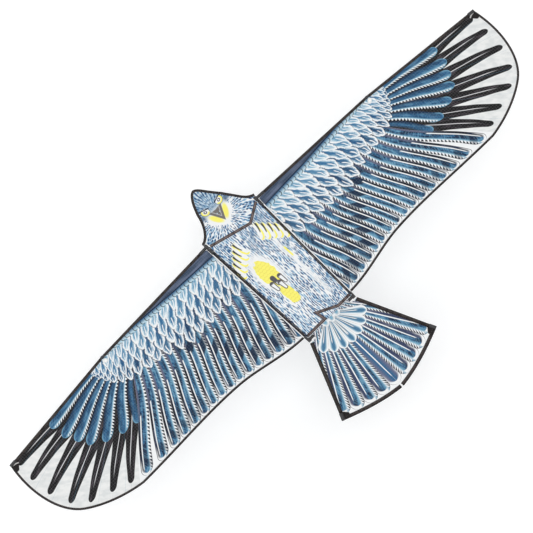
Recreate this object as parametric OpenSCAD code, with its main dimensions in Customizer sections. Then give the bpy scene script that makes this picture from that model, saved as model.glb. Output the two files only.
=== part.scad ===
// Hawk-shaped bird scarer kite, lying flat with its printed belly face up.
// X runs along the span, +Y points to the head, +Z points out of the printed face.
// The origin is under the middle of the kite, on the surface that it lies on.
// Outline points are written as [x, aft]: across from the centre line, and back from the neck line.

/* [Body] */
// Distance between the two side rods at the neck line
neck_w = 116; // [104:1:130]
// How much closer the two side rods stand at the tail seam than at the neck line
waist_in = 12; // [4:1:22]
// Length of the body from the neck line to the tail seam
body_len = 225; // [200:1:250]
// Where the point of the neck seam lies, across from the centre line
neck_point_x = 21; // [-30:1:30]
// How far the point of the neck seam hangs behind the neck line
neck_point_aft = 22; // [10:1:40]
// Where the pleat in the tail seam lies, across from the centre line
pleat_x = -12; // [-20:1:0]
// How far the pleat stands ahead of the tail seam
pleat_rise = 17; // [8:1:25]

/* [Head] */
// Length of the head ahead of the neck line
head_len = 86; // [70:1:110]
// How far inside each side rod the head's foot stands
head_in = 4; // [3.5:0.5:8]
// Width of the head at its crown
crown_w = 60; // [40:1:76]
// How far the crown stands ahead of the neck line
crown_len = 50; // [40:1:60]
// How far the head's sides run straight ahead of the neck line
head_straight = 8; // [4:1:12]

/* [Wings] */
// Wing tip to wing tip
wing_span = 1100; // [1000:5:1200]
// Distance from the centre line to the joint in each leading edge
joint_x = 312; // [260:1:360]
// How far the leading edge starts ahead of the neck line
root_lead = 5; // [3:0.5:6]
// How far the leading edge lies behind the neck line at its joint
joint_lag = 4; // [-4:1:12]
// How far the leading edge lies behind the neck line at the tip
tip_lag = 27; // [15:1:45]
// How far the trailing edge at mid wing lies ahead of the tail seam
mid_lead = 20; // [10:1:45]
// How far the trailing edge beside the body lies ahead of the tail seam
root_end_lead = 3; // [2:0.5:9]
// Length of the rounded corner of the wing, along the span
tip_round = 138; // [100:1:170]
// Depth of the rounded corner of the wing, along the chord
tip_drop = 38; // [20:1:60]
// Length of the black pocket at the tip, along the leading edge
pocket_len = 20; // [14:1:50]
// Distance from the leading edge back to the eyelet
eyelet_back = 11; // [10.5:0.5:25]

/* [Tail] */
// Length of the tail behind the tail seam
tail_len = 169; // [140:1:200]
// Width across the tail's tips
tail_w = 224; // [190:1:260]
// How far the tail's tips stand ahead of its end
tail_sweep = 31; // [10:1:50]
// Width of the break in the binding at the middle of the tail
tail_break = 4; // [2:0.5:10]

/* [Rods and fittings] */
// Diameter of the glass fibre rods
rod_d = 3; // [2.5:0.1:4]
// Gap all round between a rod and the fitting that holds it
fit_gap = 0.05; // [0.02:0.01:0.1]
// Wall of the ferrule that joins two rods
ferrule_wall = 0.6; // [0.4:0.1:1]
// Length of the ferrule
ferrule_len = 28; // [20:1:40]
// Width of the collar at the middle of the ferrule
collar_w = 4; // [3:0.5:4.5]
// How far the collar stands out of the ferrule
collar_rise = 0.5; // [0.3:0.1:0.8]
// Wall of the sockets
socket_wall = 1.05; // [0.8:0.05:1.2]
// Depth of a rod in its socket
socket_depth = 14; // [10:0.5:20]
// Length of the caps on the rods' ends
cap_len = 12; // [8:0.5:20]
// Width of the hinge eye that turns on a side rod
eye_w = 7; // [5.5:0.5:7]
// Length of the corner fittings along the side rods
corner_len = 12; // [10:0.5:16]
// Distance from the tail seam back to the rear spar
rear_spar_back = 4; // [3:0.5:8]

/* [Cloth] */
// Thickness of the sail cloth
sail_t = 0.4; // [0.2:0.05:0.5]
// Thickness of the tape on the seams
tape_t = 0.5; // [0.3:0.1:1]
// Width of the tape on the neck seam and the tail seam
seam_w = 5; // [4:0.5:9]
// Width of the tape along the body's sides
side_tape_w = 2; // [1.5:0.5:5]
// Wall of the sleeves that hold the rods
sleeve_wall = 0.9; // [0.6:0.1:1.2]
// Gap between a sleeve and the ferrule in it
sleeve_slip = 0.15; // [0.1:0.05:0.3]
// Length of the window in the sleeve at the leading edge's joint
window_len = 9; // [5:0.5:14]
// Width of the binding on the wing's free edges
wing_binding_w = 4.5; // [3:0.5:8]
// Width of the binding on the head
head_binding_w = 5; // [3.5:0.5:10]
// Width of the binding on the end of the tail
tail_binding_w = 7; // [5:0.5:10]
// Thickness of one layer of the bindings and the tip pockets
binding_wall = 0.5; // [0.3:0.05:0.7]
// Cloth that the bindings wrap round, measured in from the edge
binding_turn = 0.7; // [0.5:0.1:1]

/* [Eyelets] */
// Diameter of the hole through each eyelet
eyelet_hole_d = 3; // [2:0.1:3.6]
// Diameter of the eyelet's rim
eyelet_rim_d = 7.4; // [6:0.1:10]
// Wall of the eyelet's barrel
eyelet_wall = 0.7; // [0.5:0.1:1]
// Thickness of each rim
eyelet_rim_t = 0.6; // [0.4:0.1:1]

/* [Hidden] */
$fn = 64;

// Colours of the cloth, the tape and the fittings
sail_colour = [0.45, 0.58, 0.68];
pale_colour = [0.86, 0.88, 0.9];
tape_colour = [0.11, 0.1, 0.1];
rod_colour = [0.82, 0.8, 0.74];
fitting_colour = [0.13, 0.13, 0.14];
ferrule_colour = [0.68, 0.69, 0.7];
eyelet_colour = [0.94, 0.94, 0.93];

// Pieces on different bodies keep this far apart
move_gap = 0.3;
// A cut runs this far past the faces that it opens
over = 1;
// Half the stop inside the ferrule that keeps its two rods apart
ferrule_stop = 0.5;
// How far the wing's tip reaches past the end of the leading edge
tip_bulge = 4;
// The trailing edge is hollowed a little at this share of the inner wing's length
mid_share = 0.48;
mid_hollow = 2;
// Length of the push-on stop on a side rod
stop_len = 4;
// The pleat in the tail seam: its steep side and its flat side, along the seam
pleat_steep = 3;
pleat_flat = 35;
// Clear room round the rear spar for the tail's swing, in sleeve radii
swing_room = 2.1;
hem_room = 1.8;

// Radii that build outwards from the rod
rod_r = rod_d / 2;
bore_r = rod_r + fit_gap;
ferrule_r = bore_r + ferrule_wall;
sleeve_in_r = ferrule_r + sleeve_slip;
sleeve_r = sleeve_in_r + sleeve_wall;
body_sleeve_in_r = rod_r + sleeve_slip;
body_sleeve_r = body_sleeve_in_r + sleeve_wall;
socket_r = bore_r + socket_wall;
eye_r = sleeve_r - move_gap;
hem_r = sleeve_r - move_gap;

// Heights: the rods lie in one plane, and the body's cloth lies on the sleeves
rod_z = sleeve_r;
panel_z = rod_z + sleeve_r;
tape_z = panel_z + sail_t;

// The neck line's place along Y puts the origin halfway along the kite
neck_y = (body_len + tail_len - head_len) / 2;
tail_end = body_len + tail_len;

// Half widths
half_span = wing_span / 2;
half_neck = neck_w / 2;
half_waist = (neck_w - waist_in) / 2;
half_head = half_neck - head_in;
half_crown = crown_w / 2;
half_tail = tail_w / 2;

// Across place of the side rod's axis at a distance aft
function side_x(aft) = half_neck - waist_in / 2 * aft / body_len;
function side_point(aft, out) = [side_x(aft) + out, aft];
// Stations along the side rod
eye_aft = sleeve_r - root_lead;
stop_aft = eye_aft - eye_w / 2 - move_gap;
shoulder_aft = eye_aft + eye_w / 2 + move_gap;
chest_aft = shoulder_aft + corner_len / 2;
body_sleeve_aft = shoulder_aft + corner_len;
rear_aft = body_len + rear_spar_back;
rear_end_aft = rear_aft + sleeve_r + move_gap;
rear_start_aft = rear_end_aft - corner_len;
stop_r = bore_r + ferrule_wall + move_gap;

// Leading edge: the outer edge runs straight from root to joint and from joint to tip
edge_root = [half_neck, -root_lead];
edge_joint = [joint_x, joint_lag];
edge_tip = [half_span - tip_bulge, tip_lag];
function unit(v) = v / norm(v);
function aft_side(v) = [-v[1], v[0]];
inner_dir = unit(edge_joint - edge_root);
outer_dir = unit(edge_tip - edge_joint);
// The spars' axes lie one sleeve radius inside the edge
spar_root = edge_root + sleeve_r * aft_side(inner_dir);
joint_lean = aft_side(unit(inner_dir + outer_dir));
spar_joint = edge_joint + sleeve_r * joint_lean / (joint_lean * aft_side(inner_dir));
spar_tip = edge_tip + sleeve_r * aft_side(outer_dir);
inner_len = norm(spar_joint - spar_root);
outer_len = norm(spar_tip - spar_joint);
function inner_at(d) = spar_root + d * inner_dir;
function outer_at(d) = spar_joint + d * outer_dir;
eyelet_at = edge_joint + eyelet_back * joint_lean;

// Tail rods: straight from the waist to the tips
tail_corner = [half_waist, body_len];
tail_tip = [half_tail, tail_end - tail_sweep];
tail_dir = unit(tail_tip - tail_corner);
tail_rod_foot = tail_corner + sleeve_r * aft_side(tail_dir);
tail_rod_len = norm(tail_tip - tail_corner);
// The tail's sleeve starts clear of the swing of the corner fitting
tail_start_aft = rear_aft + swing_room * sleeve_r;
tail_start = (tail_start_aft - tail_rod_foot[1]) / tail_dir[1];
function tail_at(d) = tail_rod_foot + d * tail_dir;

// Curve through a start and an end, drawn out towards two handles
function bezier(from, from_pull, to_pull, to, steps) = [
    for (i = [0 : steps])
        let (t = i / steps, u = 1 - t)
            u * u * u * from + 3 * t * u * u * from_pull + 3 * t * t * u * to_pull + t * t * t * to
];
// A path without its first point, to follow another path that ends there
function rest_of(path) = [for (i = [1 : len(path) - 1]) path[i]];
function flipped(path) = [for (i = [len(path) - 1 : -1 : 0]) path[i]];
function mirrored(path) = [for (p = path) [-p[0], p[1]]];
// Unit step before and after a point of a path
function step_in(path, i) = unit(path[max(i, 1)] - path[max(i, 1) - 1]);
function step_out(path, i) = unit(path[min(i + 1, len(path) - 1)] - path[min(i + 1, len(path) - 1) - 1]);
// Path moved sideways by a width, with mitred corners; inward for an edge that runs tip to root
function inset(path, width) = [
    for (i = [0 : len(path) - 1])
        let (n = aft_side(step_in(path, i)), m = aft_side(step_out(path, i)))
            path[i] + width * (n + m) / (1 + n * m)
];
function strip(path, width) = concat(inset(path, -width / 2), flipped(inset(path, width / 2)));
function band(path, width) = concat(path, flipped(inset(path, width)));

// Free edge of a wing from the leading edge's tip to the body
chord = body_len - mid_lead;
round_start = [half_span - tip_drop, chord - tip_drop];
round_end = [half_span - tip_round, chord];
mid_edge = [half_neck + (joint_x - half_neck) * mid_share, chord - mid_hollow];
root_end = side_point(body_len - root_end_lead, sleeve_r + 2 * move_gap);
// Pulls that draw the curves out at their starts and ends
tip_pulls = [[10, 45], [37, -27]];
round_pulls = [[-22, 16], [42, -6]];
mid_pulls = [[-83, 0], [70, -6]];
root_pulls = [[-40, 4], [45, -1]];
function pulled(from, pulls, to, steps) = bezier(from, from + pulls[0], to + pulls[1], to, steps);
wing_free_edge = concat(
    pulled(spar_tip, tip_pulls, round_start, 10),
    rest_of(pulled(round_start, round_pulls, round_end, 6)),
    rest_of(pulled(round_end, mid_pulls, mid_edge, 8)),
    rest_of(pulled(mid_edge, root_pulls, root_end, 6))
);
// The pocket takes the first step of the tip edge, the binding takes the rest
pocket_steps = 1;
pocket_edge = [for (i = [0 : pocket_steps]) wing_free_edge[i]];
binding_edge = [for (i = [pocket_steps : len(wing_free_edge) - 1]) wing_free_edge[i]];

// Edge of the head from the left neck round the tip to the right neck
head_foot = [half_head, shoulder_aft];
head_bend = [half_head, -head_straight];
crown = [half_crown, -crown_len];
head_tip = [0, -head_len];
cheek_pulls = [[-10, -12], [8, 15]];
crown_pulls = [[-8, -14], [10, 0]];
head_right = concat(
    [head_foot],
    pulled(head_bend, cheek_pulls, crown, 6),
    rest_of(pulled(crown, crown_pulls, head_tip, 7))
);
head_edge = flipped(concat(head_right, rest_of(flipped(mirrored(head_right)))));

// End of the tail from the right tip to the middle
tail_pulls = [[-29, 12], [38, -4]];
tail_half_edge = pulled(tail_at(tail_rod_len), tail_pulls, [tail_break / 2, tail_end], 10);

// Centre lines of the seams across the body
seam_side_aft = shoulder_aft + move_gap;
neck_seam = [[-half_head, seam_side_aft], [neck_point_x, neck_point_aft], [half_head, seam_side_aft]];
seam_aft = body_len - seam_w / 2 - binding_turn;
seam_half = side_x(seam_aft) - 2 * binding_turn;
tail_seam = [
    [-seam_half, seam_aft],
    [pleat_x + pleat_steep, seam_aft],
    [pleat_x, seam_aft - pleat_rise],
    [pleat_x + pleat_flat, seam_aft],
    [seam_half, seam_aft]
];

// Map from [x, aft] to the kite's own X and Y
function placed(p) = [p[0], neck_y - p[1]];
module at_side(side) {
    if (side < 0) mirror([1, 0, 0]) children();
    else children();
}
// Flat piece of an outline, from z upwards
module plate(outline, z, thick) {
    translate([0, 0, z])
        linear_extrude(height = thick)
            polygon([for (p = outline) placed(p)]);
}
// Flat piece centred on the plane of the rods
module mid_plate(outline, thick) {
    plate(outline, rod_z - thick / 2, thick);
}
// Round bar between two points in the plane of the rods
module bar(from, to, r) {
    a = placed(from);
    b = placed(to);
    translate([a[0], a[1], rod_z])
        rotate([0, 0, atan2(b[1] - a[1], b[0] - a[0])])
            rotate([0, 90, 0])
                cylinder(h = norm(b - a), r = r);
}
module tube(from, to, r, in_r) {
    step = over * unit(to - from);
    difference() {
        bar(from, to, r);
        bar(from - step, to + step, in_r);
    }
}
// The whole length of the leading edge as a bar, which cuts the cloth
module leading_bar(r) {
    bar(inner_at(-half_neck), inner_at(inner_len + over / 2), r);
    bar(outer_at(-over / 2), outer_at(outer_len + half_neck), r);
}

// Body frame: side rods, cross spars and the fittings that hold them
module longeron(side) {
    color(rod_colour) at_side(side)
        bar(side_point(stop_aft - stop_len + over, 0), side_point(rear_end_aft - over, 0), rod_r);
}
module body_sleeve(side) {
    color(tape_colour) at_side(side)
        tube(side_point(body_sleeve_aft, 0), side_point(rear_start_aft, 0), body_sleeve_r, body_sleeve_in_r);
}
module body_tape(side) {
    outer = [side_point(seam_side_aft, -binding_turn), side_point(body_len, -binding_turn)];
    color(tape_colour) at_side(side)
        plate(concat(outer, [outer[1] - [side_tape_w, 0], outer[0] - [side_tape_w, 0]]), tape_z, tape_t);
}
module body_tapes() {
    for (side = [-1, 1]) body_tape(side);
}
// Spar across the body between two fittings
module cross_spar(aft) {
    reach = side_x(aft) - sleeve_r;
    color(rod_colour) bar([-reach, aft], [reach, aft], rod_r);
}
// Corner fitting: a sleeve on the side rod with a socket for the cross spar
module corner(side, from_aft, to_aft, spar_aft, rod_from, rod_to) {
    spar_end = [side_x(spar_aft) - sleeve_r, spar_aft];
    socket_mouth = spar_end - [socket_depth / 2, 0];
    color(fitting_colour) at_side(side)
        difference() {
            union() {
                bar(side_point(from_aft, 0), side_point(to_aft, 0), sleeve_r);
                bar(side_point(spar_aft, 0), socket_mouth, socket_r);
            }
            bar(side_point(rod_from, 0), side_point(rod_to, 0), bore_r);
            bar(spar_end, socket_mouth - [over, 0], bore_r);
        }
}
module shoulder_connector(side) {
    corner(side, shoulder_aft, body_sleeve_aft, chest_aft, shoulder_aft - over, body_sleeve_aft + over);
}
module rear_connector(side) {
    corner(side, rear_start_aft, rear_end_aft, rear_aft, rear_start_aft - over, rear_end_aft - over);
}
// Push-on stop that keeps the wing's hinge eye on the side rod
module shoulder_stop(side) {
    color(fitting_colour) at_side(side)
        difference() {
            bar(side_point(stop_aft - stop_len, 0), side_point(stop_aft, 0), stop_r);
            bar(side_point(stop_aft - stop_len + over, 0), side_point(stop_aft + over, 0), bore_r);
        }
}

// Body cloth, its seams and the head
module body_panel() {
    right = [
        side_point(seam_side_aft, -binding_turn),
        side_point(body_len, -binding_turn)
    ];
    color(pale_colour)
        plate(concat(neck_seam, right, flipped(mirrored(right))), panel_z, sail_t);
}
// The seams' tapes end against the tapes along the sides and the head's binding
module neck_seam_tape() {
    color(tape_colour)
        difference() {
            plate(strip(neck_seam, seam_w), tape_z, tape_t);
            head_band();
            body_tapes();
        }
}
module tail_seam_tape() {
    color(tape_colour)
        difference() {
            plate(strip(tail_seam, seam_w), tape_z, tape_t);
            body_tapes();
        }
}
module head_outline() {
    plate(concat(inset(head_edge, binding_turn), flipped(neck_seam)), panel_z, sail_t);
}
module head_panel() {
    color(pale_colour) head_outline();
}
module head_band() {
    plate(band(head_edge, head_binding_w), panel_z - binding_wall, sail_t + 2 * binding_wall);
}
module head_binding() {
    color(tape_colour)
        difference() {
            head_band();
            head_outline();
        }
}

// Wing: cloth on a two-part leading edge spar that hinges on the side rod
module wing_outline() {
    root = [side_point(eye_aft, sleeve_r + move_gap)];
    edge = inset(wing_free_edge, binding_turn);
    difference() {
        mid_plate(concat(root, [spar_joint, spar_tip], rest_of(edge)), sail_t);
        leading_bar(sleeve_r);
    }
}
module eyelet_bar(r, height) {
    q = placed(eyelet_at);
    translate([q[0], q[1], rod_z - height / 2]) cylinder(h = height, r = r);
}
module wing_sail(side) {
    color(sail_colour) at_side(side)
        difference() {
            wing_outline();
            eyelet_bar(eyelet_hole_d / 2 + eyelet_wall, sail_t + over);
        }
}
module eyelet(side) {
    color(eyelet_colour) at_side(side)
        difference() {
            union() {
                eyelet_bar(eyelet_hole_d / 2 + eyelet_wall, sail_t);
                for (z = [-1, 1])
                    translate([0, 0, z * (sail_t + eyelet_rim_t) / 2])
                        eyelet_bar(eyelet_rim_d / 2, eyelet_rim_t);
            }
            eyelet_bar(eyelet_hole_d / 2, sail_t + 2 * eyelet_rim_t + over);
        }
}
module inner_sleeve(side) {
    color(tape_colour) at_side(side)
        tube(inner_at(socket_depth + sleeve_r + move_gap), inner_at(inner_len - window_len / 2),
            sleeve_r, sleeve_in_r);
}
module outer_sleeve(side) {
    color(tape_colour) at_side(side)
        tube(outer_at(window_len / 2), outer_at(outer_len - cap_len), sleeve_r, sleeve_in_r);
}
module inner_spar(side) {
    color(rod_colour) at_side(side)
        bar(inner_at(2 * sleeve_r), inner_at(inner_len - ferrule_stop), rod_r);
}
module outer_spar(side) {
    color(rod_colour) at_side(side)
        bar(outer_at(ferrule_stop), outer_at(outer_len - over), rod_r);
}
// Ferrule with a collar, cranked a little, which sets the sweep of the outer wing
module spar_ferrule(side) {
    half = ferrule_len / 2;
    collar_half = collar_w / 2 * unit(inner_dir + outer_dir);
    color(ferrule_colour) at_side(side)
        difference() {
            union() {
                bar(inner_at(inner_len - half), inner_at(inner_len - ferrule_stop), ferrule_r);
                bar(outer_at(ferrule_stop), outer_at(half), ferrule_r);
                bar(spar_joint - collar_half, spar_joint + collar_half, ferrule_r + collar_rise);
            }
            bar(inner_at(inner_len - half - over), inner_at(inner_len - ferrule_stop), bore_r);
            bar(outer_at(ferrule_stop), outer_at(half + over), bore_r);
        }
}
// Hinge fitting: an eye that turns on the side rod and a socket for the spar
module shoulder_knuckle(side) {
    color(fitting_colour) at_side(side)
        difference() {
            union() {
                bar(side_point(eye_aft - eye_w / 2, 0), side_point(eye_aft + eye_w / 2, 0), eye_r);
                bar(side_point(eye_aft, 0), inner_at(socket_depth + sleeve_r), socket_r);
            }
            bar(side_point(eye_aft - eye_w, 0), side_point(eye_aft + eye_w, 0), bore_r);
            bar(inner_at(2 * sleeve_r - fit_gap), inner_at(socket_depth + sleeve_r + over), bore_r);
        }
}
module tip_cap(side) {
    color(fitting_colour) at_side(side)
        difference() {
            bar(outer_at(outer_len - cap_len), outer_at(outer_len), sleeve_r);
            bar(outer_at(outer_len - cap_len - over), outer_at(outer_len - over + fit_gap), bore_r);
        }
}
module pocket_plate() {
    corner_in = outer_at(outer_len - pocket_len);
    last = pocket_edge[pocket_steps];
    mid_plate(concat([corner_in], pocket_edge, [last - [2 * wing_binding_w, 0]]), sail_t + 2 * binding_wall);
}
module tip_pocket(side) {
    color(tape_colour) at_side(side)
        difference() {
            pocket_plate();
            wing_outline();
            leading_bar(sleeve_r);
        }
}
module wing_binding(side) {
    color(tape_colour) at_side(side)
        difference() {
            mid_plate(band(binding_edge, wing_binding_w), sail_t + 2 * binding_wall);
            wing_outline();
            pocket_plate();
        }
}

// Tail: cloth on two splayed rods, hung by its hem on the rear spar
module tail_hem() {
    reach = side_x(rear_aft) - sleeve_r - socket_depth / 2 - move_gap;
    color(tape_colour) tube([-reach, rear_aft], [reach, rear_aft], hem_r, bore_r);
}
module tail_bars(r) {
    for (side = [-1, 1])
        at_side(side) bar(tail_at(0), tail_at(tail_rod_len + half_neck), r);
}
module tail_outline() {
    reach = side_x(rear_aft) - sleeve_r - socket_depth / 2 - move_gap;
    right = [
        [reach, rear_aft],
        [reach, rear_aft + hem_room * sleeve_r],
        tail_at(tail_start),
        tail_at(tail_rod_len)
    ];
    edge = rest_of(inset(tail_half_edge, binding_turn));
    half = concat(right, edge);
    difference() {
        mid_plate(concat(half, flipped(mirrored(half))), sail_t);
        tail_bars(sleeve_r);
        bar([-half_neck, rear_aft], [half_neck, rear_aft], hem_r);
    }
}
module tail_panel() {
    color(sail_colour) tail_outline();
}
module tail_sleeve(side) {
    color(tape_colour) at_side(side)
        tube(tail_at(tail_start), tail_at(tail_rod_len - cap_len), sleeve_r, sleeve_in_r);
}
module tail_rod(side) {
    color(rod_colour) at_side(side)
        bar(tail_at(tail_start + over), tail_at(tail_rod_len - over), rod_r);
}
module tail_cap(side) {
    color(fitting_colour) at_side(side)
        difference() {
            bar(tail_at(tail_rod_len - cap_len), tail_at(tail_rod_len), sleeve_r);
            bar(tail_at(tail_rod_len - cap_len - over), tail_at(tail_rod_len - over + fit_gap), bore_r);
        }
}
module tail_binding(side) {
    color(tape_colour) at_side(side)
        difference() {
            mid_plate(band(tail_half_edge, tail_binding_w), sail_t + 2 * binding_wall);
            tail_outline();
            tail_bars(sleeve_r);
        }
}

longeron(-1);  // left_longeron
longeron(1);  // right_longeron
body_sleeve(-1);  // left_body_sleeve
body_sleeve(1);  // right_body_sleeve
body_tape(-1);  // left_body_tape
body_tape(1);  // right_body_tape
cross_spar(chest_aft);  // chest_spar
cross_spar(rear_aft);  // rear_spar
shoulder_connector(-1);  // left_shoulder_connector
shoulder_connector(1);  // right_shoulder_connector
rear_connector(-1);  // left_rear_connector
rear_connector(1);  // right_rear_connector
shoulder_stop(-1);  // left_shoulder_stop
shoulder_stop(1);  // right_shoulder_stop
body_panel();
neck_seam_tape();
tail_seam_tape();
head_panel();
head_binding();
wing_sail(-1);  // left_wing_sail
wing_sail(1);  // right_wing_sail
inner_sleeve(-1);  // left_inner_sleeve
inner_sleeve(1);  // right_inner_sleeve
outer_sleeve(-1);  // left_outer_sleeve
outer_sleeve(1);  // right_outer_sleeve
inner_spar(-1);  // left_inner_spar
inner_spar(1);  // right_inner_spar
outer_spar(-1);  // left_outer_spar
outer_spar(1);  // right_outer_spar
spar_ferrule(-1);  // left_spar_ferrule
spar_ferrule(1);  // right_spar_ferrule
shoulder_knuckle(-1);  // left_shoulder_knuckle
shoulder_knuckle(1);  // right_shoulder_knuckle
tip_cap(-1);  // left_tip_cap
tip_cap(1);  // right_tip_cap
tip_pocket(-1);  // left_tip_pocket
tip_pocket(1);  // right_tip_pocket
wing_binding(-1);  // left_wing_binding
wing_binding(1);  // right_wing_binding
eyelet(-1);  // left_eyelet
eyelet(1);  // right_eyelet
tail_panel();
tail_hem();
tail_rod(-1);  // left_tail_rod
tail_rod(1);  // right_tail_rod
tail_sleeve(-1);  // left_tail_sleeve
tail_sleeve(1);  // right_tail_sleeve
tail_cap(-1);  // left_tail_cap
tail_cap(1);  // right_tail_cap
tail_binding(-1);  // left_tail_binding
tail_binding(1);  // right_tail_binding
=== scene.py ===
import math

import bmesh
import bpy
import numpy as np
from mathutils import Matrix, Vector, noise


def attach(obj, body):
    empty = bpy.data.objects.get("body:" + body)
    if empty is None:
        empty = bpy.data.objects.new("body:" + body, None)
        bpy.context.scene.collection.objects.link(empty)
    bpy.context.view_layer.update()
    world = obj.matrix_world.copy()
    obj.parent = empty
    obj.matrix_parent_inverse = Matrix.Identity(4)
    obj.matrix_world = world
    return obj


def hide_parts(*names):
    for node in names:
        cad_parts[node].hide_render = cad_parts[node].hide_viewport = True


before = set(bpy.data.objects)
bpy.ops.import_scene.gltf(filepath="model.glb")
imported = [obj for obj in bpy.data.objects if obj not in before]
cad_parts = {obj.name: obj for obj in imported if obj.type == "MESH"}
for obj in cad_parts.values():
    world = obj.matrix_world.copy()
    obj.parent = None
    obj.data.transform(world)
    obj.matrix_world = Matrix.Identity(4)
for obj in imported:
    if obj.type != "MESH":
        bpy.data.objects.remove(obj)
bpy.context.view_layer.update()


# Rods: pultruded glass fibre, 3 mm thick, dyed black and faintly streaked along their length.
# They stand in moulded fittings and run inside the sleeves and the tail's hem. The chest spar
# crosses the open back of the body bare.
def dye(red, green, blue):
    """A colour on the 0 to 255 scale as the linear value that a finish takes."""
    parts = [c / 255 for c in (red, green, blue)]
    return tuple(((c + 0.055) / 1.055) ** 2.4 if c > 0.04 else c / 12.92 for c in parts) + (1.0,)


class Ink:
    """A value in a finish's nodes that plain arithmetic can be written with."""

    def __init__(self, tree, socket):
        self.tree = tree
        self.socket = socket

    def work(self, kind, *values):
        node = self.tree.nodes.new("ShaderNodeMath")
        node.operation = kind
        for socket, value in zip(node.inputs, values):
            pour(self.tree, value, socket)
        return Ink(self.tree, node.outputs[0])

    def __add__(self, other):
        return self.work("ADD", self, other)

    def __sub__(self, other):
        return self.work("SUBTRACT", self, other)

    def __rsub__(self, other):
        return self.work("SUBTRACT", other, self)

    def __mul__(self, other):
        return self.work("MULTIPLY", self, other)

    def __truediv__(self, other):
        return self.work("DIVIDE", self, other)

    def __pow__(self, other):
        return self.work("POWER", self, other)

    def size(self):
        return self.work("ABSOLUTE", self)

    def floor(self):
        return self.work("FLOOR", self)

    def part(self):
        return self.work("FRACT", self)

    def least(self, other):
        return self.work("MINIMUM", self, other)

    def most(self, other):
        return self.work("MAXIMUM", self, other)

    def turn(self, other):
        return self.work("ARCTAN2", self, other)

    def root(self):
        return self.work("SQRT", self.most(0.0))

    def rise(self, low, high):
        """0 below low, 1 above high, smooth between."""
        node = self.tree.nodes.new("ShaderNodeMapRange")
        node.interpolation_type = "SMOOTHSTEP"
        pour(self.tree, self, node.inputs["Value"])
        node.inputs["From Min"].default_value = low
        node.inputs["From Max"].default_value = high
        return Ink(self.tree, node.outputs[0])

    def fall(self, low, high):
        return 1.0 - self.rise(low, high)

    def cell(self, pitch):
        """Distance from the middle of a cell that repeats at that pitch, as a share up to 0.5."""
        return ((self / pitch).part() - 0.5).size()


def pour(tree, value, socket):
    if isinstance(value, Ink):
        tree.links.new(value.socket, socket)
    else:
        socket.default_value = value


def lay(share, under, over):
    """One colour laid over another, by a share from 0 to 1."""
    node = share.tree.nodes.new("ShaderNodeMix")
    node.data_type = "RGBA"
    pour(share.tree, share, node.inputs[0])
    pour(share.tree, under, node.inputs[6])
    pour(share.tree, over, node.inputs[7])
    return Ink(share.tree, node.outputs[2])


def place_of(tree, scale=1000.0):
    """The piece's own x, y and z, in millimetres."""
    where = tree.nodes.new("ShaderNodeTexCoord")
    split = tree.nodes.new("ShaderNodeSeparateXYZ")
    tree.links.new(where.outputs["Object"], split.inputs[0])
    return [Ink(tree, out) * scale for out in split.outputs]


def grain(tree, x, y, z, scale, detail=3.0):
    """Soft cloudy variation from 0 to 1."""
    join = tree.nodes.new("ShaderNodeCombineXYZ")
    for value, socket in zip((x, y, z), join.inputs):
        pour(tree, value, socket)
    cloud = tree.nodes.new("ShaderNodeTexNoise")
    tree.links.new(join.outputs[0], cloud.inputs["Vector"])
    cloud.inputs["Scale"].default_value = scale
    cloud.inputs["Detail"].default_value = detail
    return Ink(tree, cloud.outputs[0])


def new_finish(name):
    finish = bpy.data.materials.new(name)
    finish.use_nodes = True
    return finish, finish.node_tree, finish.node_tree.nodes["Principled BSDF"]


def dress(tree, shader, colour, roughness, height, depth):
    """Colour, roughness and a bump: height runs from 0 to 1 and depth is in millimetres."""
    pour(tree, colour, shader.inputs["Base Color"])
    pour(tree, roughness, shader.inputs["Roughness"])
    bump = tree.nodes.new("ShaderNodeBump")
    bump.inputs["Strength"].default_value = 1.0
    bump.inputs["Distance"].default_value = depth / 1000
    pour(tree, height, bump.inputs["Height"])
    tree.links.new(bump.outputs[0], shader.inputs["Normal"])


def coat_nodes(finish, *names):
    for name in names:
        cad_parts[name].data.materials.clear()
        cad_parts[name].data.materials.append(finish)


def pair(name):
    return f"left_{name}", f"right_{name}"


def glass_fibre(name, along_x):
    finish, tree, shader = new_finish(name)
    x, y, z = place_of(tree)
    lengthwise, crosswise = 0.03, 1.6
    streak = (lengthwise, crosswise) if along_x else (crosswise, lengthwise)
    fine = grain(tree, x * streak[0], y * streak[1], z * crosswise, 1.0)
    colour = lay(fine.rise(0.35, 0.7), dye(34, 34, 36), dye(66, 66, 68))
    dress(tree, shader, colour, fine * 0.25 + 0.28, fine, 0.08)
    return finish


across_rod = glass_fibre("glass_fibre_across", True)
along_rod = glass_fibre("glass_fibre_along", False)
coat_nodes(across_rod, "chest_spar", "rear_spar", *pair("inner_spar"), *pair("outer_spar"))
coat_nodes(along_rod, *pair("longeron"), *pair("tail_rod"))


# Fittings: corner sockets, hinge knuckles, push-on stops and end caps, moulded in black nylon.
# Each is pushed on its rod; the knuckles' eyes turn on the side rods between a stop and a socket.
nylon, tree, shader = new_finish("black_nylon")
x, y, z = place_of(tree)
fine = grain(tree, x, y, z, 3.5, 2.0)
wear = grain(tree, x, y, z, 0.25, 4.0)
worn_black = lay(wear.rise(0.45, 0.75), dye(38, 38, 40), dye(58, 58, 60))
dress(tree, shader, worn_black, fine * 0.25 + 0.38, fine, 0.06)
coat_nodes(nylon, *pair("shoulder_connector"), *pair("rear_connector"), *pair("shoulder_stop"),
           *pair("shoulder_knuckle"), *pair("tip_cap"), *pair("tail_cap"))


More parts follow.
